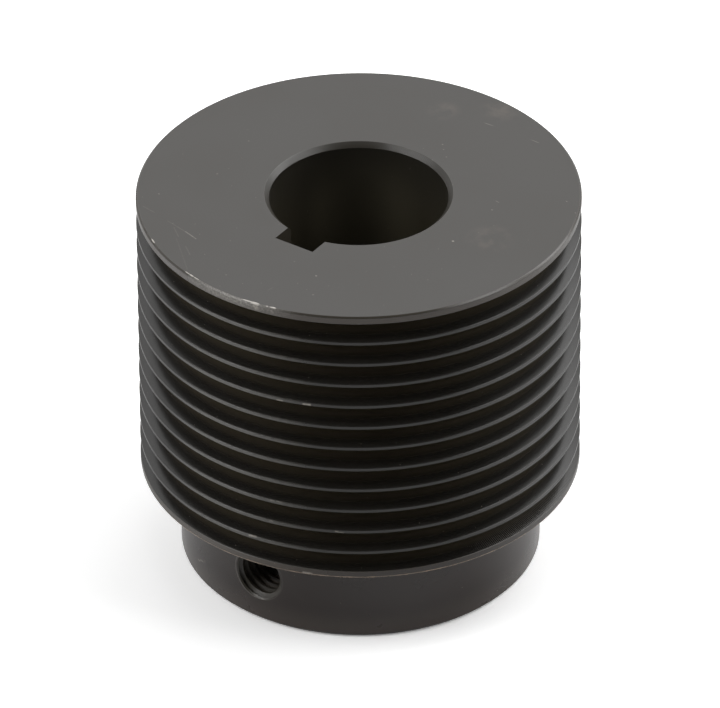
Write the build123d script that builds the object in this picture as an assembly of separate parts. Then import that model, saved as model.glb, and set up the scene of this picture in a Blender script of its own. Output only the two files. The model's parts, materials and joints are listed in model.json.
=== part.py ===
from build123d import *
import os
from math import radians, tan

# A ribbed-belt pulley turned from one steel bar. Sizes are in millimetres. The axis is Z,
# the hub's end face lies on Z = 0, and the keyway and the set-screw hole face -Y.

# Ribbed rim
rim_diameter = 63.2  # over the crests
groove_count = 12
groove_pitch = 3.56
groove_angle = 40.0  # degrees between a groove's two flanks, which meet at its root
crest_flat = 0.5  # width of the land that is left between two grooves
groove_to_face = 2.7  # from an end groove's centre to the rim's end face
rim_edge_break = 0.25

# Hub
hub_diameter = 51.8
hub_length = 14.35  # below the rim
hub_edge_break = 0.6

# Bore and keyway
bore_diameter = 25.4
bore_chamfer = 0.7
key_width = 6.35
keyway_depth = 3.4  # from the bore's surface, on the keyway's centre line

# Set-screw hole, at the drilled size of an M8 thread
screw_hole_diameter = 6.8
screw_mouth_diameter = 8.6  # of the countersink where it meets the hub
screw_hole_offset = 0.6  # above the middle of the hub

# Sizes that follow from the ones above
rim_radius = rim_diameter / 2
hub_radius = hub_diameter / 2
bore_radius = bore_diameter / 2
screw_hole_radius = screw_hole_diameter / 2
screw_mouth_radius = screw_mouth_diameter / 2
screw_hole_height = hub_length / 2 + screw_hole_offset
rim_width = (groove_count - 1) * groove_pitch + 2 * groove_to_face
top = hub_length + rim_width
groove_mouth = groove_pitch - crest_flat
root_radius = rim_radius - groove_mouth / 2 / tan(radians(groove_angle / 2))
overcut = 1.0  # how far a cutter runs past the surface that it opens


def groove_section(centre):
    """Corners of one V groove: its lower crest edge, its root and its upper crest edge."""
    return [
        (rim_radius, centre - groove_mouth / 2),
        (root_radius, centre),
        (rim_radius, centre + groove_mouth / 2),
    ]


def rim_section():
    """The rim's outer side, from the shoulder above the hub to the top face."""
    corners = [
        (rim_radius - rim_edge_break, hub_length),
        (rim_radius, hub_length + rim_edge_break),
    ]
    for number in range(groove_count):
        corners += groove_section(hub_length + groove_to_face + number * groove_pitch)
    return corners + [
        (rim_radius, top - rim_edge_break),
        (rim_radius - rim_edge_break, top),
    ]


def turned_body():
    """All that the lathe makes: hub, rim, grooves, bore and their broken edges."""
    hub_side = [
        (hub_radius - hub_edge_break, 0),
        (hub_radius, hub_edge_break),
        (hub_radius, hub_length),
    ]
    bore_side = [
        (bore_radius + bore_chamfer, top),
        (bore_radius, top - bore_chamfer),
        (bore_radius, bore_chamfer),
        (bore_radius + bore_chamfer, 0),
    ]
    outline = Polyline(*hub_side, *rim_section(), *bore_side, close=True)
    return revolve(Plane.XZ * make_face(outline), Axis.Z)


def keyway():
    """The square-cornered slot that a broach cuts down the whole bore."""
    reach = bore_radius + keyway_depth
    slot = Box(key_width, reach, top + 2 * overcut, align=(Align.CENTER, Align.MAX, Align.MIN))
    return Pos(0, 0, -overcut) * slot


def set_screw_hole():
    """The hole from the hub's side into the keyway, with its countersunk mouth."""
    standing = (Align.CENTER, Align.CENTER, Align.MIN)
    drill = Cylinder(screw_hole_radius, hub_radius + overcut, align=standing)
    mouth_depth = screw_mouth_radius - screw_hole_radius
    mouth = Cone(
        screw_hole_radius,
        screw_mouth_radius + overcut,
        mouth_depth + overcut,
        align=standing,
    )
    cutter = drill + Pos(0, 0, hub_radius - mouth_depth) * mouth
    return Pos(0, 0, screw_hole_height) * Rot(90, 0, 0) * cutter


pulley = turned_body() - keyway() - set_screw_hole()

os.makedirs("parts", exist_ok=True)
export_step(pulley, "parts/pulley.step")
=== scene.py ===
import json
from math import ceil, cos, degrees, pi, radians, sin, tan

import bmesh
import bpy
from mathutils import Matrix, Vector


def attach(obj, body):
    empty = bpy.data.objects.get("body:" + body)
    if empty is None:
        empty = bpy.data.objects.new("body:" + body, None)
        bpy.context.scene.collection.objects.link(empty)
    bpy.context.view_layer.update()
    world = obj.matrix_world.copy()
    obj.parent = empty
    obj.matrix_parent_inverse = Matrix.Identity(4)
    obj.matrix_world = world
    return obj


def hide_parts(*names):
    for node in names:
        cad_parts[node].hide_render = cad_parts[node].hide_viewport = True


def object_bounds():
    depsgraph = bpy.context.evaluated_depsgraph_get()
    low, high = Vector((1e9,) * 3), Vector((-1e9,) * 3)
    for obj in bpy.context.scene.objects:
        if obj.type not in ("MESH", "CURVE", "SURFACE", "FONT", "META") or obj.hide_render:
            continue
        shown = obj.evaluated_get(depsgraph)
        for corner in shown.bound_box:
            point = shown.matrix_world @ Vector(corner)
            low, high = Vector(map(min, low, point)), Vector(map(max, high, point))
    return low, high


# The dressed pulley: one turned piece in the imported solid's place, with its crests, roots and
# edges rounded, its set-screw hole threaded, and a black oxide finish. All is in metres.

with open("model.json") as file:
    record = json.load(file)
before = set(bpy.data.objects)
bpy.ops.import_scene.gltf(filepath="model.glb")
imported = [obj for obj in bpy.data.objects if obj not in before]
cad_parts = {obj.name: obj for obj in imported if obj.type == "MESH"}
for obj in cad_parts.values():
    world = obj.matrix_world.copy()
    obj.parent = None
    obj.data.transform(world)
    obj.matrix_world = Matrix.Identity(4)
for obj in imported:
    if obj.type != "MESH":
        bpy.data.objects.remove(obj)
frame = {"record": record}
cad_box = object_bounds()
mm = 0.001


def mount(name):
    """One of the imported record's mounts."""
    return next(m for m in frame["record"]["mounts"] if m["name"] == name)


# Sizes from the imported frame
rim_radius = cad_box[1].x
top = cad_box[1].z
bore_radius = mount("bore")["dims"]["r_mm"] * mm
bore_chamfer = (top - mount("bore")["dims"]["length_mm"] * mm) / 2
tapped_radius = mount("set_screw_hole")["dims"]["r_mm"] * mm
tapped_height = mount("set_screw_hole")["pos_m"][2]

# Ribbed rim
groove_count = 12
groove_pitch = 3.56 * mm
groove_half_angle = radians(20)
crest_flat = 0.5 * mm  # width of the land between two grooves, with its rounded corners
groove_to_face = 2.7 * mm
root_rounding = 0.4 * mm
crest_rounding = 0.12 * mm
rim_edge_break = 0.25 * mm

# Hub and keyway
hub_radius = 25.9 * mm
hub_length = 14.35 * mm
hub_edge_break = 0.6 * mm
key_width = 6.35 * mm
keyway_depth = 3.4 * mm
edge_rounding = 0.1 * mm  # of each turned corner that looks sharp

# Set-screw thread, M8 x 1.25
thread_pitch = 1.25 * mm
thread_major_radius = 4.0 * mm
thread_half_angle = radians(30)
thread_root_flat = thread_pitch / 8
thread_rounding = 0.05 * mm
first_crest_depth = 0.87 * mm  # from the hub's side to the outermost crest, at the hole's lowest point
mouth_radius = 4.05 * mm  # of the countersink where it meets the hub
overcut = 1.0 * mm

# Fineness of the round forms
turn_steps = 240
bend_step = radians(18)
thread_steps = 72
sharp_angle = radians(30)
dent_subdivisions = 3

# The photograph's camera, fitted to the crests, the faces and the bore. Its azimuth is counted from
# -Y towards +X.
camera_azimuth = radians(34.6)
camera_elevation = radians(34.25)
camera_roll = radians(-0.321)
camera_distance = 1.4876  # from the point that it aims at
camera_lens = 520.05  # focal length in millimetres
camera_sensor = 36.0  # width in millimetres
aim_side = 0.052 * mm  # of the point that it aims at, to the right of the axis
aim_height = 31.283 * mm
toward_camera = (sin(camera_azimuth), -cos(camera_azimuth), 0)
rightward = (cos(camera_azimuth), sin(camera_azimuth), 0)

# Light: softboxes by name, azimuth from the camera and elevation in degrees, distance, width,
# height and radiance, then the room and the floor
SOFTBOXES = (
    ("overhead", 0, 90, 1.2, 0.8, 0.8, 0.6),
    ("behind", 180, 40, 1.4, 0.9, 0.7, 1.0),
    ("back_left", -145, 45, 1.4, 0.9, 0.7, 0.45),
    ("back_right", 145, 45, 1.4, 0.9, 0.7, 1.3),
    ("left", -72, 35, 1.4, 0.6, 0.7, 6.0),
    ("left_high", -78, 55, 1.4, 0.6, 0.6, 2.9),
    ("right", 72, 40, 1.4, 0.6, 0.7, 4.0),
    ("right_tall", 112, 39, 1.4, 0.6, 1.4, 4.0),
)
ambient_light = 0.15
room_light = 0.93  # of what is mirrored from behind the pulley
room_fade = (-0.3, 0.6)  # where that ends, as cosines of the angle from the camera's azimuth
floor_reach = 3.0  # from the axis to each of its sides
floor_drop = 0.02 * mm  # below the hub's end face, so that the two don't lie in one plane
floor_grey = 0.8
left_glow = 0.8  # of the floor, in reflections
right_glow = 0.5
seen_glow = 0.16  # of the floor, to the camera
seen_floor = 1.28

# Where the floor changes in reflections, from the first limit to the second. Azimuths are in degrees
# from the camera's, negative to the left, and distances are from the axis. A depth says how far a
# place lies on the camera's side of the axis.
left_azimuths = (-60.0, -20.0)  # the left glow ends there
left_back_azimuths = (-125.0, -80.0)
left_depths = (-0.016, 0.018)
right_azimuths = (35.0, 75.0)  # the right glow begins there
right_back_azimuths = (105.0, 145.0)
right_depths = (-0.014, 0.016)
middle_azimuths = (-1.0, 1.0)
front_azimuths = (-30.0, 30.0)
glow_distances = (0.033, 0.060)
far_distances = (0.075, 0.100)
dimmer_distances = (0.085, 0.105)
dark_back_azimuths = (100.0, 125.0)
dark_back_start = (0.040, 0.055)
dark_back_end = (0.085, 0.120)
dark_side_start = (0.036, 0.044)
dark_side_end = (0.050, 0.065)
dark_side_depths = (-0.004, 0.012)

# The kinds of surface, in the order of the piece's material slots
FINISHES = ("face", "ribs", "land", "hub", "bore", "bevel", "chamfer", "cut", "thread", "edge", "bare")

dent_tilt = radians(22.5)  # of a dent's middle, halfway between the rim's top face and its chamfer

# Dents in the rim's top edge: degrees round from +X, then the half-length, half-width and depth
DENTS = (
    (-85.3, 0.95 * mm, 0.20 * mm, 0.05 * mm),
    (-83.2, 1.00 * mm, 0.34 * mm, 0.08 * mm),
    (-79.6, 0.25 * mm, 0.18 * mm, 0.04 * mm),
    (-78.0, 0.65 * mm, 0.22 * mm, 0.06 * mm),
    (-122.8, 0.80 * mm, 0.20 * mm, 0.05 * mm),
    (-105.4, 0.75 * mm, 0.14 * mm, 0.03 * mm),
    (-103.8, 0.55 * mm, 0.20 * mm, 0.05 * mm),
    (-102.0, 0.80 * mm, 0.15 * mm, 0.03 * mm),
)


def bend(before, corner, after, rounding):
    """Points of the arc that rounds a corner between two straight sides."""
    back = (before - corner).normalized()
    ahead = (after - corner).normalized()
    turn = pi - back.angle(ahead)
    start = corner + back * rounding * tan(turn / 2)
    centre = corner + (back + ahead).normalized() * rounding / cos(turn / 2)
    sense = -1 if back.cross(ahead) > 0 else 1
    steps = max(2, ceil(turn / bend_step))
    points = []
    for step in range(steps + 1):
        spoke = start - centre
        spoke.rotate(Matrix.Rotation(sense * turn * step / steps, 2))
        points.append(centre + spoke)
    return points


def rounded(corners, period=(0, 0)):
    """An outline's (x, y, finish) points from its (x, y, rounding, finish) corners, which repeat after
    the period. A finish belongs to the side that follows a corner, and to a wide corner's own arc."""
    points = []
    last = len(corners) - 1
    for number, (x, y, rounding, finish) in enumerate(corners):
        before = Vector(corners[number - 1][:2])
        after = Vector(corners[(number + 1) % len(corners)][:2])
        if number == 0:
            before -= Vector(period)
        if number == last:
            after += Vector(period)
        arc = bend(before, Vector((x, y)), after, rounding)
        arc_finish = "edge" if rounding == edge_rounding else finish
        points += [(p.x, p.y, arc_finish) for p in arc[:-1]]
        points.append((arc[-1].x, arc[-1].y, finish))
    return points


def groove_corners():
    """Corners of the ribbed part, from the lowest groove up: lower lip, root and upper lip of each."""
    mouth = groove_pitch - crest_flat
    root = rim_radius - mouth / 2 / tan(groove_half_angle)
    corners = []
    for number in range(groove_count):
        centre = hub_length + groove_to_face + number * groove_pitch
        corners.append((rim_radius, centre - mouth / 2, crest_rounding, "ribs"))
        corners.append((root, centre, root_rounding, "ribs"))
        corners.append((rim_radius, centre + mouth / 2, crest_rounding, "ribs"))
    # The outermost lips border the two plain lands
    corners[0] = (*corners[0][:2], edge_rounding, "ribs")
    corners[-1] = (*corners[-1][:2], edge_rounding, "land")
    return corners


def turned_corners():
    """Corners of the turned section as (radius, height, rounding, finish), from the hub's end round."""
    return [
        (hub_radius - hub_edge_break, 0, edge_rounding, "chamfer"),
        (hub_radius, hub_edge_break, edge_rounding, "hub"),
        (hub_radius, hub_length, edge_rounding, "face"),
        (rim_radius - rim_edge_break, hub_length, edge_rounding, "chamfer"),
        (rim_radius, hub_length + rim_edge_break, edge_rounding, "land"),
        *groove_corners(),
        (rim_radius, top - rim_edge_break, edge_rounding, "chamfer"),
        (rim_radius - rim_edge_break, top, edge_rounding, "face"),
        (bore_radius + bore_chamfer, top, edge_rounding, "bevel"),
        (bore_radius, top - bore_chamfer, edge_rounding, "bore"),
        (bore_radius, bore_chamfer, edge_rounding, "bevel"),
        (bore_radius + bore_chamfer, 0, edge_rounding, "face"),
    ]


def solid(name, vertices, faces, finishes):
    """A closed piece from plain lists, its faces turned outwards, with a finish for each face."""
    mesh = bpy.data.meshes.new(name)
    mesh.from_pydata(vertices, [], faces)
    for finish in FINISHES:
        mesh.materials.append(materials[finish])
    mesh.polygons.foreach_set("material_index", [FINISHES.index(finish) for finish in finishes])
    form = bmesh.new()
    form.from_mesh(mesh)
    bmesh.ops.recalc_face_normals(form, faces=form.faces)
    form.to_mesh(mesh)
    form.free()
    piece = bpy.data.objects.new(name, mesh)
    bpy.context.scene.collection.objects.link(piece)
    return piece


def turned_body():
    """The turned section, revolved about the axis."""
    outline = rounded(turned_corners())
    count = len(outline)
    vertices = []
    faces = []
    finishes = []
    for step in range(turn_steps):
        angle = 2 * pi * step / turn_steps
        vertices += [(x * cos(angle), x * sin(angle), y) for x, y, _ in outline]
        here = step * count
        there = (step + 1) % turn_steps * count
        for number, (_, _, finish) in enumerate(outline):
            after = (number + 1) % count
            faces.append((here + number, there + number, there + after, here + after))
            finishes.append(finish)
    return solid("turned_pulley", vertices, faces, finishes)


def keyway_cutter():
    """A box from the bore's axis to the keyway's floor, longer than the bore."""
    half = key_width / 2
    floor = -(bore_radius + keyway_depth)
    corners = [(x, y, z) for x in (-half, half) for y in (floor, 0) for z in (-overcut, top + overcut)]
    faces = [(0, 1, 3, 2), (4, 6, 7, 5), (0, 4, 5, 1), (2, 3, 7, 6), (0, 2, 6, 4), (1, 5, 7, 3)]
    return solid("keyway_cutter", corners, faces, ["cut"] * len(faces))


def hole_point(along, radius, angle):
    """A point of the set-screw hole, by its distance from the bore's axis and its turn round the hole."""
    return (radius * cos(angle), -along, tapped_height + radius * sin(angle))


def hole_ring(along, radius):
    """A ring of points round the set-screw hole."""
    return [hole_point(along, radius, 2 * pi * step / thread_steps) for step in range(thread_steps)]


def mouth_cutter():
    """The countersink, run on past the hub so that it opens cleanly."""
    depth = mouth_radius - tapped_radius
    vertices = hole_ring(hub_radius - depth, tapped_radius)
    vertices += hole_ring(hub_radius + overcut, mouth_radius + overcut)
    faces = [tuple(range(thread_steps)), tuple(range(thread_steps, 2 * thread_steps))]
    for step in range(thread_steps):
        after = (step + 1) % thread_steps
        faces.append((step, thread_steps + step, thread_steps + after, after))
    return solid("mouth_cutter", vertices, faces, ["cut"] * len(faces))


def thread_outline():
    """One pitch of the thread as (distance along the hole, radius) points."""
    flank = (thread_major_radius - tapped_radius) * tan(thread_half_angle)
    crest = thread_pitch - thread_root_flat - 2 * flank
    corners = [
        (0, tapped_radius, thread_rounding, "thread"),
        (flank, thread_major_radius, thread_rounding, "thread"),
        (flank + thread_root_flat, thread_major_radius, thread_rounding, "thread"),
        (thread_pitch - crest, tapped_radius, thread_rounding, "thread"),
    ]
    return [(along, radius) for along, radius, _ in rounded(corners, (thread_pitch, 0))]


def thread_rows():
    """The screw's outline from its inner to its outer end, with a finish for each row of faces."""
    pitch_outline = thread_outline()
    lowest = 0.75 * thread_pitch  # how far the outline has moved out at the hole's lowest point
    outer_crest = hub_radius - first_crest_depth - lowest
    turns = ceil((outer_crest - bore_radius + overcut) / thread_pitch)
    halfway = (tapped_radius + thread_major_radius) / 2
    outline = []
    finishes = []
    for turn in range(-turns, 2):
        base = outer_crest + turn * thread_pitch
        for along, radius in pitch_outline:
            outline.append((base + along, radius))
            finishes.append("thread" if turn < 0 or radius > halfway else "cut")
    finishes[turns * len(pitch_outline) - 1] = "cut"  # the outermost crest
    return outline, finishes


def thread_wall(rows, shift):
    """The screw's faces, step by step round the hole. The last step joins the first, one pitch out."""
    faces = []
    for step in range(thread_steps - 1):
        for row in range(rows - 1):
            here = step * rows + row
            faces.append((here, here + rows, here + rows + 1, here + 1))
    last = (thread_steps - 1) * rows
    for row in range(rows - 1 - shift):
        faces.append((last + row, row + shift, row + shift + 1, last + row + 1))
    return faces


def thread_ends(rows, shift):
    """The vertices round the screw's inner end and round its outer end."""
    last = (thread_steps - 1) * rows
    inner = [step * rows for step in range(thread_steps)] + list(range(shift, 0, -1))
    outer = [step * rows + rows - 1 for step in range(thread_steps)]
    outer += [last + row for row in range(rows - 2, rows - 2 - shift, -1)]
    return inner, outer


def thread_cutter():
    """A right-hand screw through the hub's wall: its outline moves out by one pitch in each turn."""
    outline, row_finishes = thread_rows()
    rows = len(outline)
    shift = len(thread_outline())
    vertices = []
    for step in range(thread_steps):
        angle = 2 * pi * step / thread_steps
        climb = thread_pitch * step / thread_steps
        vertices += [hole_point(along + climb, radius, angle) for along, radius in outline]
    faces = thread_wall(rows, shift)
    finishes = row_finishes[:-1] * (thread_steps - 1) + row_finishes[: rows - 1 - shift]
    reach = thread_pitch / 2  # from the thread's ends to the tips that close it
    tips = [outline[0][0] - reach, outline[-1][0] + thread_pitch + reach]
    for end, tip in zip(thread_ends(rows, shift), tips):
        faces += [(here, there, len(vertices)) for here, there in zip(end, end[1:] + end[:1])]
        vertices.append(hole_point(tip, 0, 0))
    finishes += ["thread"] * (len(faces) - len(finishes))
    return solid("thread_cutter", vertices, faces, finishes)


def dent_cutter(angle, half_length, half_width, depth):
    """An ellipsoid that takes a dent out of the edge between the rim's chamfer and its top face."""
    thickness = 2 * depth
    turn = radians(angle)
    outwards = Vector((cos(turn), sin(turn), 0))
    upwards = Vector((0, 0, 1))
    facing = upwards * cos(dent_tilt) + outwards * sin(dent_tilt)
    along = upwards.cross(outwards)
    across = along.cross(facing)
    centre = outwards * (rim_radius - rim_edge_break) + upwards * top + facing * (thickness - depth)
    form = bmesh.new()
    bmesh.ops.create_icosphere(form, subdivisions=dent_subdivisions, radius=1.0)
    form.verts.index_update()
    vertices = []
    for vertex in form.verts:
        x, y, z = vertex.co
        place = centre + along * half_length * x + across * half_width * y + facing * thickness * z
        vertices.append(tuple(place))
    faces = [tuple(vertex.index for vertex in face.verts) for face in form.faces]
    form.free()
    return solid("dent_cutter", vertices, faces, ["bare"] * len(faces))


def cut(piece, cutter):
    """Takes the cutter away from the piece, and removes the cutter."""
    boolean = piece.modifiers.new(cutter.name, "BOOLEAN")
    boolean.operation = "DIFFERENCE"
    boolean.solver = "MANIFOLD"
    boolean.object = cutter
    apply_modifiers(piece)
    bpy.data.objects.remove(cutter)


def apply_modifiers(piece):
    """Makes what the modifiers show into the piece's own mesh."""
    shown = piece.evaluated_get(bpy.context.evaluated_depsgraph_get())
    mesh = bpy.data.meshes.new_from_object(shown)
    piece.modifiers.clear()
    piece.data = mesh


def dressed_pulley():
    """The turned body with its keyway and its threaded hole, shaded smooth between sharp edges."""
    piece = turned_body()
    cut(piece, keyway_cutter())
    cut(piece, mouth_cutter())
    cut(piece, thread_cutter())
    for dent in DENTS:
        cut(piece, dent_cutter(*dent))
    piece.data.shade_smooth()
    piece.data.set_sharp_from_angle(angle=sharp_angle)
    weighted = piece.modifiers.new("large faces lead", "WEIGHTED_NORMAL")
    weighted.keep_sharp = True
    apply_modifiers(piece)
    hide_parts("pulley")
    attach(piece, "root")


class Tree:
    """Adds and links the nodes of one material or world."""

    def __init__(self, owner):
        owner.use_nodes = True
        self.nodes = owner.node_tree.nodes
        self.links = owner.node_tree.links

    def add(self, kind, inputs=None, **settings):
        """A node. Each of its inputs is linked from another node's socket or given a value."""
        node = self.nodes.new("ShaderNode" + kind)
        for name, value in settings.items():
            setattr(node, name, value)
        for socket, value in (inputs or {}).items():
            if isinstance(value, bpy.types.NodeSocket):
                self.links.new(value, node.inputs[socket])
            else:
                node.inputs[socket].default_value = value
        return node

    def math(self, operation, first, second=0.0):
        """A number worked out from one or two others."""
        return self.add("Math", {0: first, 1: second}, operation=operation).outputs[0]

    def product(self, *shares):
        """Several shares multiplied by each other."""
        total = shares[0]
        for share in shares[1:]:
            total = self.math("MULTIPLY", total, share)
        return total

    def most(self, *shares):
        """The largest of several shares."""
        total = shares[0]
        for share in shares[1:]:
            total = self.math("MAXIMUM", total, share)
        return total

    def clamp(self, value):
        """A value kept between 0 and 1."""
        return self.add("Clamp", {0: value}).outputs[0]

    def blend(self, share, first, second):
        """A colour between two, by a share from 0 to 1."""
        node = self.add("Mix", {"Factor": share, 6: first, 7: second}, data_type="RGBA")
        return node.outputs[2]

    def ramp(self, value, low, high, to_low=0.0, to_high=1.0):
        """A value's smooth way from one level to another between two limits."""
        inputs = {0: value, 1: low, 2: high, 3: to_low, 4: to_high}
        return self.add("MapRange", inputs, interpolation_type="SMOOTHSTEP").outputs[0]

    def fall(self, value, low, high):
        """1 below two limits, 0 above them, and a smooth way down between them."""
        return self.ramp(value, low, high, 1.0, 0.0)

    def between(self, value, low, high, fade):
        """1 between two limits, and 0 from the fade's width outside them."""
        return self.product(self.ramp(value, low - fade, low), self.fall(value, high, high + fade))

    def vector(self, operation, first, second=(0, 0, 0)):
        """A vector or a number worked out from one or two vectors."""
        return self.add("VectorMath", {0: first, 1: second}, operation=operation)


class Surface(Tree):
    """A material's nodes, with the place on the pulley in millimetres and degrees."""

    def __init__(self, material):
        super().__init__(material)
        self.shader = self.nodes["Principled BSDF"]
        position = self.add("TexCoord").outputs["Object"]
        self.place = self.vector("MULTIPLY", position, (1 / mm, 1 / mm, 1 / mm)).outputs["Vector"]
        flat = self.vector("MULTIPLY", self.place, (1, 1, 0)).outputs["Vector"]
        self.radius = self.vector("LENGTH", flat).outputs["Value"]
        split = self.add("SeparateXYZ", {0: self.place})
        self.height = split.outputs["Z"]
        turn = self.math("ARCTAN2", split.outputs["Y"], split.outputs["X"])
        self.angle = self.product(turn, degrees(1))

    def clouds(self, scale, detail=2.0):
        """Cloudy noise from 0 to 1. Its scale is per millimetre."""
        inputs = {"Vector": self.place, "Scale": scale, "Detail": detail}
        return self.add("TexNoise", inputs).outputs["Fac"]

    def stroke(self, start, end, width):
        """1 along the middle of a straight scratch, or on a dot where its start and end are near."""
        along = Vector(end) - Vector(start)
        offset = self.vector("SUBTRACT", self.place, start).outputs["Vector"]
        share = self.vector("DOT_PRODUCT", offset, along / along.length_squared).outputs["Value"]
        share = self.clamp(share)
        nearest = self.add("VectorMath", {0: along, "Scale": share}, operation="SCALE").outputs["Vector"]
        away = self.vector("DISTANCE", offset, nearest).outputs["Value"]
        return self.fall(away, stroke_core * width, stroke_reach * width)


def grey(level):
    """A colour without a hue."""
    return (level, level, level, 1)


# The colour, roughness and index of refraction of each finish
OXIDE = {
    "face": ((0.020, 0.017, 0.013, 1), 0.40, 1.5),
    "ribs": ((0.0100, 0.0088, 0.0070, 1), 0.25, 1.5),
    "land": ((0.045, 0.036, 0.029, 1), 0.26, 1.5),
    "hub": ((0.016, 0.0095, 0.0070, 1), 0.28, 1.5),
    "bore": ((0.021, 0.019, 0.0145, 1), 0.35, 1.5),
    "bevel": ((0.018, 0.015, 0.010, 1), 0.40, 1.5),
    "chamfer": ((0.038, 0.033, 0.026, 1), 0.26, 1.5),
    "cut": ((0.034, 0.029, 0.021, 1), 0.44, 1.5),
    "thread": ((0.050, 0.045, 0.037, 1), 0.42, 1.22),
    "edge": ((0.045, 0.040, 0.034, 1), 0.30, 1.5),
    "bare": ((0.42, 0.40, 0.37, 1), 0.45, 1.5),
}

# Colours that the looks below add to a finish
painted_root_light_colour = (0.080, 0.066, 0.045, 1)  # painted light in the roots, a lighter and warmer colour than the crests
painted_bore_glow_colour = (0.078, 0.069, 0.046, 1)  # painted light far down the bore, where the lamps don't reach
painted_bore_glow_lamp_side_colour = (0.036, 0.031, 0.020, 1)  # the same painted light, weaker on the side that the lamps reach
ridge_highlight_colour = (0.060, 0.055, 0.048, 1)  # painted highlight along the chatter ridges on the lowest flank
crest_colour = (0.042, 0.039, 0.034, 1)  # where the crests are worn
foot_colour = (0.050, 0.040, 0.034, 1)  # low on the hub
low_land_colour = (0.018, 0.012, 0.008, 1)  # of the rim's lower plain land
brown_colour = (0.036, 0.027, 0.019, 1)  # low on the rim, on its side towards the set-screw hole
bare_colour = (0.32, 0.29, 0.25, 1)  # of specks, scratches and flecks
worn_colour = (0.190, 0.176, 0.154, 1)  # of the rim's rubbed top edge
worn_dark_colour = (0.080, 0.073, 0.063, 1)
stain_colour = (0.052, 0.042, 0.033, 1)
tan_colour = (0.34, 0.25, 0.18, 1)  # of the rust that shows where an edge is chipped
# partly a real burr, partly a painted highlight along the set-screw hole's mouth
burr_highlight_colour = (0.085, 0.076, 0.066, 1)
painted_thread_shade_colour = (0.026, 0.021, 0.016, 1)  # painted shade on the turns far inside the set-screw hole
painted_thread_root_light_colour = (0.080, 0.063, 0.046, 1)  # painted light in the roots between those turns

face_height = top / mm
low_edge_height = hub_length / mm

# Where one look gives way to another, from the first limit to the second. Angles are in degrees round
# from +X, and radii and heights in millimetres.
painted_root_light_radii = (28.6, 30.7)  # of the ribs' painted light, fading out from the roots up to the crests
worn_crest_radii = (31.3, 31.5)
worn_crest_angles = (-98.0, -78.0)
worn_crest_fade = 14.0
rib_chatter_heights = (17.3, 17.6)  # above the lowest groove's lower flank
rib_chatter_angles = (-14.0, 24.0)
bevel_chatter_angles = (74.0, 100.0)
chatter_fade = 14.0
bore_glow_heights = (42.0, 60.0)  # over which the painted light fades out towards the bore's top
unlit_bore_start = (75.0, 105.0)  # of the stretch of wall that the lamps don't reach
unlit_bore_end = (145.0, 165.0)
inner_thread_radii = (22.0, 24.6)
thread_root_radii = (3.5, 3.9)  # from the set-screw hole's axis
burr_highlight_radii = (mouth_radius / mm, mouth_radius / mm + 0.06)  # from the same axis
burr_highlight_fade = 0.07
burr_highlight_angles = (-88.0, -81.0)  # where it gets fainter
hole_side_angles = (-150.0, -30.0)
hole_side_fade = 5.0
low_land_heights = (20.0, 50.0)
brown_heights = (20.0, 30.0)
brown_angles = (-80.0, -58.0)
foot_heights = (0.0, 5.0)
chip_heights = (low_edge_height - 0.1, low_edge_height + 0.3)
chip_fade = 0.08
worn_rim_start = (-106.0, -101.5)  # where the rim's top edge begins to be rubbed
worn_rim_full = (-101.0, -92.0)
worn_rim_end = (-88.0, -69.0)
worn_rim_foot = (face_height - 1.35, face_height - 1.2)  # below which nothing is rubbed
worn_rim_heights = (face_height - 1.2, face_height - 0.3)  # over which it gets stronger
worn_rim_radii = (rim_radius / mm - 0.65, rim_radius / mm - 0.45)

# Strength and grain of the wear
rib_chatter_count = 649  # ridges in a whole turn
bevel_chatter_count = 264
bevel_chatter_depth = 3.0  # times the turning marks
turning_depth = 0.0025 * mm
turning_slant = 1.37  # of the height against the radius, so that a cone has rings too
turning_scale = 3.2
blotch_scale = 0.09
blotch_limits = (0.3, 0.7)  # of the noise
blotch_darkening = 0.88
blotch_roughness = 0.02
worn_roughness = 0.15
stain_strength = 0.8
stroke_core = 0.15  # of a mark's width, within which it is at its full strength
stroke_reach = 0.65
speck_scale = 0.22  # cells in a millimetre
speck_slant = 0.5  # millimetres that a degree round the wall counts for
speck_radii = (0.008, 0.022)  # of a cell
speck_luck = (0.45, 1.0)  # which cells have a speck
speck_strength = 0.5

# Marks on the top face, as (x, y) places in millimetres: start, end, width, strength
FACE_MARKS = (
    ((-18.23, -21.03), (-14.68, -21.86), 0.20, 0.10),
    ((-14.54, -21.87), (-12.31, -22.53), 0.22, 0.36),
    ((-16.54, -21.90), (-14.65, -23.45), 0.20, 0.08),
    ((-12.40, -24.89), (-10.73, -26.26), 0.22, 0.10),
    ((-14.59, -24.03), (-8.88, -29.51), 0.22, 0.05),
    ((-23.22, -19.92), (-21.04, -20.31), 0.20, 0.10),
    ((17.93, -2.82), (18.03, -2.80), 0.30, 1.0),
    ((18.05, 6.89), (18.15, 6.89), 0.22, 0.45),
    ((-23.31, -16.08), (-23.21, -16.08), 0.22, 0.35),
    ((2.81, 16.99), (2.90, 16.95), 0.24, 0.40),
    ((3.66, 15.99), (3.72, 15.99), 0.20, 0.30),
    ((-19.43, -7.26), (-19.36, -7.20), 0.24, 0.35),
    ((-20.63, 2.27), (-20.56, 2.30), 0.22, 0.30),
    ((7.02, -20.79), (7.05, -20.79), 0.28, 0.75),
    ((9.34, -24.95), (9.38, -24.84), 0.24, 0.35),
    ((-3.57, -27.63), (-3.55, -27.60), 0.24, 0.30),
    ((2.46, -19.54), (2.50, -19.54), 0.24, 0.25),
    ((3.48, -27.51), (3.70, -26.60), 0.20, 0.10),
    ((-8.05, -20.24), (-8.00, -20.24), 0.24, 0.20),
)

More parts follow.
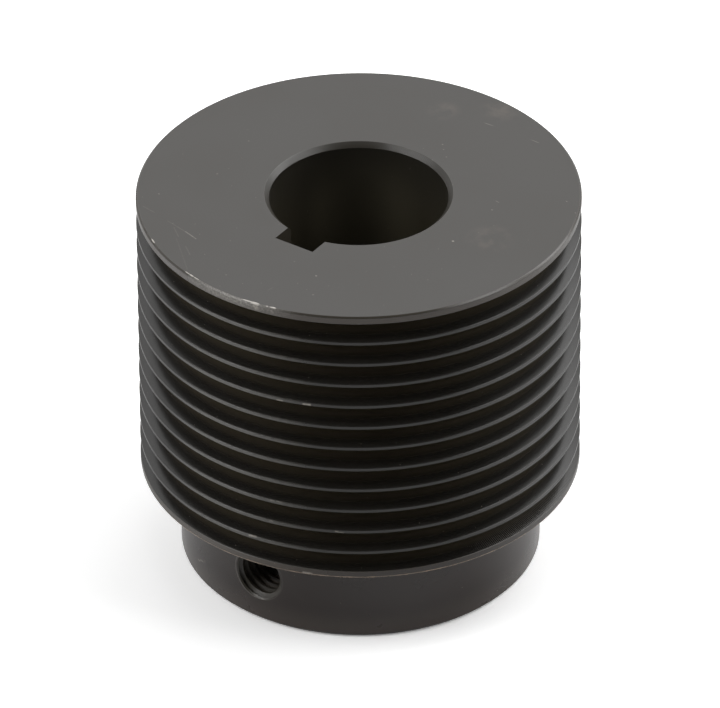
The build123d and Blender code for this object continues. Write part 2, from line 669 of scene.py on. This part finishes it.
# Marks on each finish, the same but as (x, y, z) places
MARKS = {
    "face": [((*start, face_height), (*end, face_height), *rest) for start, end, *rest in FACE_MARKS],
    "ribs": (
        ((10.85, -29.68, 43.70), (11.75, -29.33, 43.72), 0.34, 0.65),
        ((7.10, -30.79, 43.62), (7.90, -30.60, 43.62), 0.26, 0.45),
        ((15.10, -27.70, 22.32), (15.90, -27.25, 22.32), 0.20, 0.35),
        ((2.60, -31.44, 19.00), (3.60, -31.36, 19.10), 0.34, 0.60),
        ((6.00, -31.02, 26.14), (6.50, -30.92, 26.16), 0.24, 0.30),
        ((6.90, -30.84, 26.20), (7.70, -30.65, 26.20), 0.22, 0.22),
        ((5.85, -31.05, 22.59), (6.25, -30.97, 22.59), 0.24, 0.25),
        ((14.90, -27.87, 22.43), (15.20, -27.70, 22.43), 0.24, 0.40),
    ),
    "land": (
        ((10.60, -29.75, 14.74), (11.75, -29.30, 14.72), 0.40, 0.60),
        ((17.82, -26.04, 57.75), (17.90, -25.98, 57.75), 0.30, 0.40),
        ((27.01, -16.30, 15.80), (27.05, -16.24, 15.80), 0.26, 0.60),
        ((3.90, -31.31, 58.75), (4.20, -31.27, 58.25), 0.80, 0.55),
        ((6.45, -30.88, 58.45), (6.60, -30.85, 58.25), 0.45, 0.30),
    ),
    "hub": (
        ((-12.22, -22.83, 3.72), (-11.12, -23.39, 4.13), 0.30, 0.40),
        ((-12.80, -22.51, 3.40), (-12.45, -22.71, 3.42), 0.30, 0.45),
        ((-13.50, -22.10, 1.30), (-13.20, -22.28, 0.80), 0.30, 0.45),
    ),
    "chamfer": (
        ((3.90, -31.20, 58.85), (4.10, -31.20, 58.80), 0.80, 0.60),
        ((6.17, -30.81, 14.48), (6.75, -30.69, 14.46), 0.36, 0.90),
    ),
    "cut": (
        ((-0.80, -25.80, 4.15), (-0.30, -25.80, 4.05), 0.40, 0.50),
        ((2.65, -25.60, 10.13), (3.14, -25.60, 10.30), 0.35, 0.50),
        ((0.60, -25.80, 3.75), (0.90, -25.80, 3.80), 0.35, 0.35),
    ),
}

# Stains on the top face: x, y and reach in millimetres
STAINS = ((21.95, 0.72, 4.2), (4.70, 29.03, 3.6), (-2.0, 24.5, 3.0))
stain_middle = 0.2  # of a stain's reach, within which it is at its full strength


def stained(surface, colour):
    """The top face, with faint brown stains."""
    shares = []
    for x, y, reach in STAINS:
        away = surface.vector("DISTANCE", surface.place, (x, y, face_height)).outputs["Value"]
        shares.append(surface.fall(away, stain_middle * reach, reach))
    patches = surface.ramp(surface.clouds(scale=0.5, detail=3.0), low=0.35, high=0.7)
    share = surface.product(surface.most(*shares), patches, stain_strength)
    return surface.blend(share, colour, stain_colour)


def chatter(surface, count, first, last):
    """Ridges across the cut, where the tool rang between two angles. The count is for a whole turn."""
    waves = surface.math("SINE", surface.product(surface.angle, radians(count)))
    return surface.product(waves, surface.between(surface.angle, first, last, chatter_fade))


def rib_chatter(surface):
    """Chatter on the lowest groove's lower flank."""
    ridges = chatter(surface, rib_chatter_count, *rib_chatter_angles)
    return surface.product(ridges, surface.fall(surface.height, *rib_chatter_heights))


def bevel_chatter(surface):
    """Chatter on the bore's chamfer."""
    ridges = chatter(surface, bevel_chatter_count, *bevel_chatter_angles)
    return surface.product(ridges, bevel_chatter_depth)


def worn_crests(surface):
    """Where the crests have worn a little lighter, on the side of the set-screw hole."""
    stretch = surface.between(surface.angle, *worn_crest_angles, worn_crest_fade)
    grain = surface.ramp(surface.clouds(scale=1.2), low=0.3, high=0.6, to_low=0.6)
    return surface.product(stretch, grain, surface.ramp(surface.radius, *worn_crest_radii))


def ribbed(surface, colour):
    """The ribs, with painted light lifting their roots, worn crests, and a painted highlight on the
    chatter's ridges.
    """
    # Painted light: the roots take a lighter colour than the crests
    shown = surface.blend(surface.fall(surface.radius, *painted_root_light_radii), colour, painted_root_light_colour)
    shown = surface.blend(worn_crests(surface), shown, crest_colour)
    # Painted highlight: the chatter's ridges are painted lighter, beside their real bump
    return surface.blend(surface.clamp(rib_chatter(surface)), shown, ridge_highlight_colour)


def bore_with_painted_glow(surface, colour):
    """The bore, with painted light that grows with its depth and is weaker on the side that the lamps
    reach.
    """
    before = surface.fall(surface.angle, *unlit_bore_start)
    lit_side = surface.most(before, surface.ramp(surface.angle, *unlit_bore_end))
    # Painted light: a lighter colour far down the bore
    deep = surface.blend(lit_side, painted_bore_glow_colour, painted_bore_glow_lamp_side_colour)
    return surface.blend(surface.fall(surface.height, *bore_glow_heights), colour, deep)


def from_hole_axis(surface):
    """How far a place lies from the set-screw hole's axis, in millimetres."""
    centre = (0, -hub_radius / mm, tapped_height / mm)
    offset = surface.vector("SUBTRACT", surface.place, centre).outputs["Vector"]
    across = surface.vector("MULTIPLY", offset, (1, 0, 1)).outputs["Vector"]
    return surface.vector("LENGTH", across).outputs["Value"]


def thread_with_painted_light(surface, colour):
    """The set-screw thread, with painted shade on its inner turns and painted light in the roots between
    them.
    """
    roots = surface.ramp(from_hole_axis(surface), *thread_root_radii)
    # Painted shade on the inner crests, painted light in their roots
    deep = surface.blend(roots, painted_thread_shade_colour, painted_thread_root_light_colour)
    return surface.blend(surface.fall(surface.radius, *inner_thread_radii), colour, deep)


def browned_land(surface, colour):
    """The plain lands, of which the lower one is darker and partly brown."""
    shown = surface.blend(surface.fall(surface.height, *low_land_heights), colour, low_land_colour)
    low = surface.fall(surface.height, *brown_heights)
    share = surface.product(low, surface.fall(surface.angle, *brown_angles))
    return surface.blend(share, shown, brown_colour)


def hub_with_burr_highlight(surface, colour):
    """The hub, with its foot and with a thin bright ring round the set-screw hole's mouth, partly burr
    and partly painted highlight.
    """
    shown = surface.blend(surface.fall(surface.height, *foot_heights), colour, foot_colour)
    ring = surface.between(from_hole_axis(surface), *burr_highlight_radii, burr_highlight_fade)
    fainter = surface.ramp(surface.angle, *burr_highlight_angles, to_low=1.0, to_high=0.3)
    hole_side = surface.between(surface.angle, *hole_side_angles, hole_side_fade)
    return surface.blend(surface.product(ring, fainter, hole_side), shown, burr_highlight_colour)


# What is painted over a finish, the ridges that are added to its bump, and the finishes that the
# rim's two outer edges have
PAINTERS = {
    "face": stained,
    "ribs": ribbed,
    "bore": bore_with_painted_glow,
    "thread": thread_with_painted_light,
    "land": browned_land,
    "hub": hub_with_burr_highlight,
}
RIDGES = {"ribs": rib_chatter, "bevel": bevel_chatter}
RUBBED_FINISHES = ("land", "chamfer", "edge")


def worn_rim(surface):
    """Where the oxide has rubbed off the rim's top edge, on both sides of the keyway's middle."""
    light = surface.ramp(surface.angle, *worn_rim_start, to_high=0.5)
    full = surface.ramp(surface.angle, *worn_rim_full, to_high=0.5)
    return surface.product(
        surface.math("ADD", light, full),
        surface.fall(surface.angle, *worn_rim_end),
        surface.ramp(surface.height, *worn_rim_heights, to_low=0.45),
        surface.ramp(surface.height, *worn_rim_foot),
        surface.ramp(surface.radius, *worn_rim_radii),
    )


def rubbed(surface, colour, worn):
    """A finish with the rim's rubbed top edge, and with rust in the small chips of its lower edge."""
    mottle = surface.ramp(surface.clouds(scale=3.2, detail=5.0), low=0.38, high=0.66)
    bared = surface.blend(mottle, worn_dark_colour, worn_colour)
    shown = surface.blend(worn, colour, bared)
    line = surface.between(surface.height, *chip_heights, chip_fade)
    grain = surface.clouds(scale=0.8, detail=4.0)
    chips = surface.ramp(grain, low=0.42, high=0.72, to_low=0.3, to_high=0.9)
    return surface.blend(surface.product(line, chips), shown, tan_colour)


def specks(surface):
    """Sparse light specks of dust and bared metal."""
    wall = surface.product(surface.angle, speck_slant)
    spread = surface.add("CombineXYZ", {0: wall, 1: surface.height}).outputs[0]
    spread = surface.vector("ADD", surface.place, spread).outputs["Vector"]
    cells = surface.add("TexVoronoi", {"Vector": spread, "Scale": speck_scale}, voronoi_dimensions="2D")
    luck = surface.add("SeparateXYZ", {0: cells.outputs["Color"]}).outputs["X"]
    near = surface.fall(cells.outputs["Distance"], *speck_radii)
    return surface.product(near, surface.ramp(luck, *speck_luck, to_high=speck_strength))


def marked(surface, colour, marks):
    """A finish with its specks, scratches and flecks."""
    grain = surface.ramp(surface.clouds(scale=2.2), low=0.3, high=0.6, to_low=0.4)
    shares = [specks(surface)]
    for start, end, width, strength in marks:
        shares.append(surface.product(surface.stroke(start, end, width), strength, grain))
    return surface.blend(surface.most(*shares), colour, bare_colour)


def turning_marks(surface):
    """Fine rings that the lathe leaves on every turned surface."""
    across = surface.math("ADD", surface.product(surface.height, turning_slant), surface.radius)
    inputs = {"W": across, "Scale": turning_scale, "Detail": 2.0}
    return surface.add("TexNoise", inputs, noise_dimensions="1D").outputs["Fac"]


def oxide_material(finish):
    """Black oxide on turned steel, with what wear shows on this finish."""
    material = bpy.data.materials.new("black_oxide_" + finish)
    surface = Surface(material)
    colour, roughness, refraction = OXIDE[finish]
    blotches = surface.clouds(scale=blotch_scale, detail=4.0)
    darker = tuple(blotch_darkening * level for level in colour[:3]) + (1,)
    shown = surface.blend(surface.ramp(blotches, *blotch_limits), darker, colour)
    smoothest = roughness - blotch_roughness
    rough = surface.ramp(blotches, *blotch_limits, smoothest, roughness + blotch_roughness)
    if finish in PAINTERS:
        shown = PAINTERS[finish](surface, shown)
    if finish in RUBBED_FINISHES:
        worn = worn_rim(surface)
        shown = rubbed(surface, shown, worn)
        rough = surface.math("ADD", rough, surface.product(worn, worn_roughness))
    if finish != "bare":
        shown = marked(surface, shown, MARKS.get(finish, ()))
    height = turning_marks(surface)
    if finish in RIDGES:
        height = surface.math("ADD", height, RIDGES[finish](surface))
    bump = surface.add("Bump", {"Height": height, "Distance": turning_depth})
    surface.links.new(shown, surface.shader.inputs["Base Color"])
    surface.links.new(rough, surface.shader.inputs["Roughness"])
    surface.links.new(bump.outputs["Normal"], surface.shader.inputs["Normal"])
    surface.shader.inputs["IOR"].default_value = refraction
    surface.shader.inputs["Metallic"].default_value = 1.0 if finish == "bare" else 0.0
    return material


def white_where_seen(tree, shaded, seen):
    """One shader for what the camera, reflections and glass see, another for how the rest is lit."""
    path = tree.add("LightPath").outputs
    direct = tree.most(path["Is Camera Ray"], path["Is Glossy Ray"], path["Is Transmission Ray"])
    return tree.add("MixShader", {0: direct, 1: shaded, 2: seen}).outputs[0]


def floor_place(tree):
    """A place on the floor: its azimuth, its distance from the axis and its depth."""
    place = tree.add("TexCoord").outputs["Object"]
    depth = tree.vector("DOT_PRODUCT", place, toward_camera).outputs["Value"]
    right = tree.vector("DOT_PRODUCT", place, rightward).outputs["Value"]
    azimuth = tree.product(tree.math("ARCTAN2", right, depth), degrees(1))
    return azimuth, tree.vector("LENGTH", place).outputs["Value"], depth


def left_share(tree, azimuth, distance, depth):
    """How much of the left glow shows: most beside the pulley, and far out behind it too."""
    far = tree.product(tree.ramp(azimuth, *left_back_azimuths), tree.ramp(distance, *far_distances))
    return tree.most(tree.ramp(depth, *left_depths), far)


def right_share(tree, azimuth, distance, depth):
    """How much of the right glow shows: most beside the pulley, less far out, none behind it."""
    beside = tree.ramp(depth, *right_depths, to_low=0.4)
    far = tree.ramp(distance, *far_distances)
    dimmer = tree.ramp(distance, *dimmer_distances, to_low=1.0, to_high=0.6)
    return tree.product(tree.most(beside, far), dimmer, tree.fall(azimuth, *right_back_azimuths))


def side_glow(tree, azimuth, distance, depth):
    """What reflections see of the floor's own light: most beside the pulley, none in front of it."""
    left = tree.ramp(azimuth, *left_azimuths, to_low=left_glow, to_high=0.0)
    right = tree.ramp(azimuth, *right_azimuths, to_high=right_glow)
    at_left = left_share(tree, azimuth, distance, depth)
    at_right = right_share(tree, azimuth, distance, depth)
    beside = tree.ramp(azimuth, *middle_azimuths, at_left, at_right)
    near = tree.ramp(azimuth, *front_azimuths, to_low=0.25, to_high=0.55)
    share = tree.ramp(distance, *glow_distances, near, beside)
    return tree.product(tree.math("ADD", left, right), share)


def mirrored_grey(tree, azimuth, distance, depth):
    """The floor's grey in reflections, with painted shade behind the pulley and close beside it."""
    behind = tree.product(
        tree.ramp(tree.math("ABSOLUTE", azimuth), *dark_back_azimuths, to_high=0.2),
        tree.ramp(distance, *dark_back_start),
        tree.ramp(distance, *dark_back_end, to_low=1.0, to_high=0.3),
    )
    beside = tree.product(
        tree.ramp(distance, *dark_side_start),
        tree.fall(distance, *dark_side_end),
        tree.ramp(depth, *dark_side_depths, to_low=0.2, to_high=0.0),
    )
    share = tree.math("SUBTRACT", 1.0, tree.most(behind, beside))
    return tree.product(share, floor_grey)


def mirrored_floor(tree):
    """The shader of the floor in reflections."""
    place = floor_place(tree)
    shaded = tree.add("BsdfDiffuse", {"Color": mirrored_grey(tree, *place)}).outputs[0]
    glow = tree.add("Emission", {"Color": grey(1.0), "Strength": side_glow(tree, *place)}).outputs[0]
    return tree.add("AddShader", {0: shaded, 1: glow}).outputs[0]


def floor_material():
    """White, with its own light that lifts what is seen of it to white outside the shadow."""
    material = bpy.data.materials.new("pale_floor")
    tree = Tree(material)
    tree.nodes.clear()
    plain = tree.add("BsdfDiffuse", {"Color": grey(floor_grey)}).outputs[0]
    lit = white_where_seen(tree, plain, mirrored_floor(tree))
    shadowed = tree.add("BsdfDiffuse", {"Color": grey(seen_floor)}).outputs[0]
    lift = tree.add("Emission", {"Color": grey(1.0), "Strength": seen_glow}).outputs[0]
    white = tree.add("AddShader", {0: shadowed, 1: lift}).outputs[0]
    camera = tree.add("LightPath").outputs["Is Camera Ray"]
    shown = tree.add("MixShader", {0: camera, 1: lit, 2: white}).outputs[0]
    tree.links.new(shown, tree.add("OutputMaterial").inputs["Surface"])
    return material


def pale_floor():
    """A wide white floor under the pulley."""
    mesh = bpy.data.meshes.new("floor")
    sides = ((-1, -1), (1, -1), (1, 1), (-1, 1))
    corners = [(x * floor_reach, y * floor_reach, -floor_drop) for x, y in sides]
    mesh.from_pydata(corners, [], [(0, 1, 2, 3)])
    mesh.materials.append(floor_material())
    floor = bpy.data.objects.new("floor", mesh)
    bpy.context.scene.collection.objects.link(floor)


def studio_world():
    """Even ambient light. Reflections see white behind the pulley and a darker room before it."""
    world = bpy.data.worlds.new("studio")
    bpy.context.scene.world = world
    tree = Tree(world)
    tree.nodes.clear()
    direction = tree.add("TexCoord").outputs["Generated"]
    facing = tree.vector("DOT_PRODUCT", direction, toward_camera).outputs["Value"]
    room = tree.ramp(facing, *room_fade, to_low=room_light, to_high=0.0)
    room = tree.most(room, tree.add("LightPath").outputs["Is Camera Ray"])
    ambient = tree.add("Background", {"Color": grey(1.0), "Strength": ambient_light}).outputs[0]
    seen = tree.add("Background", {"Color": grey(1.0), "Strength": room}).outputs[0]
    shown = white_where_seen(tree, ambient, seen)
    tree.links.new(shown, tree.add("OutputWorld").inputs["Surface"])


def softbox(name, azimuth, elevation, distance, width, height, radiance):
    """A soft lamp that faces the pulley. Its azimuth is counted from the camera's."""
    data = bpy.data.lights.new(name, "AREA")
    data.shape = "RECTANGLE"
    data.size = width
    data.size_y = height
    data.energy = radiance * pi * width * height
    lamp = bpy.data.objects.new(name, data)
    bpy.context.scene.collection.objects.link(lamp)
    turn = camera_azimuth + radians(azimuth)
    rise = radians(elevation)
    away = Vector((sin(turn) * cos(rise), -cos(turn) * cos(rise), sin(rise)))
    lamp.location = Vector((0, 0, top / 2)) + away * distance  # from the pulley's middle
    lamp.rotation_mode = "QUATERNION"
    lamp.rotation_quaternion = away.to_track_quat("Z", "Y")


def studio_camera():
    """The photograph's view: a long lens from above the set-screw hole's right."""
    upwards = Vector((0, 0, 1))
    forward = -Vector(toward_camera) * cos(camera_elevation) - upwards * sin(camera_elevation)
    level = Vector(rightward)
    aim = level * aim_side + upwards * aim_height
    upright = Matrix((level, level.cross(forward), -forward)).transposed()
    data = bpy.data.cameras.new("camera")
    data.lens = camera_lens
    data.sensor_width = camera_sensor
    data.clip_start = 0.1
    data.clip_end = 20.0
    camera = bpy.data.objects.new("camera", data)
    bpy.context.scene.collection.objects.link(camera)
    turned = upright @ Matrix.Rotation(camera_roll, 3, "Z")
    camera.matrix_world = Matrix.Translation(aim - forward * camera_distance) @ turned.to_4x4()
    bpy.context.scene.camera = camera


materials = {finish: oxide_material(finish) for finish in FINISHES}
dressed_pulley()
pale_floor()
studio_world()
for lamp in SOFTBOXES:
    softbox(*lamp)
studio_camera()
bpy.context.scene.view_settings.view_transform = "Standard"
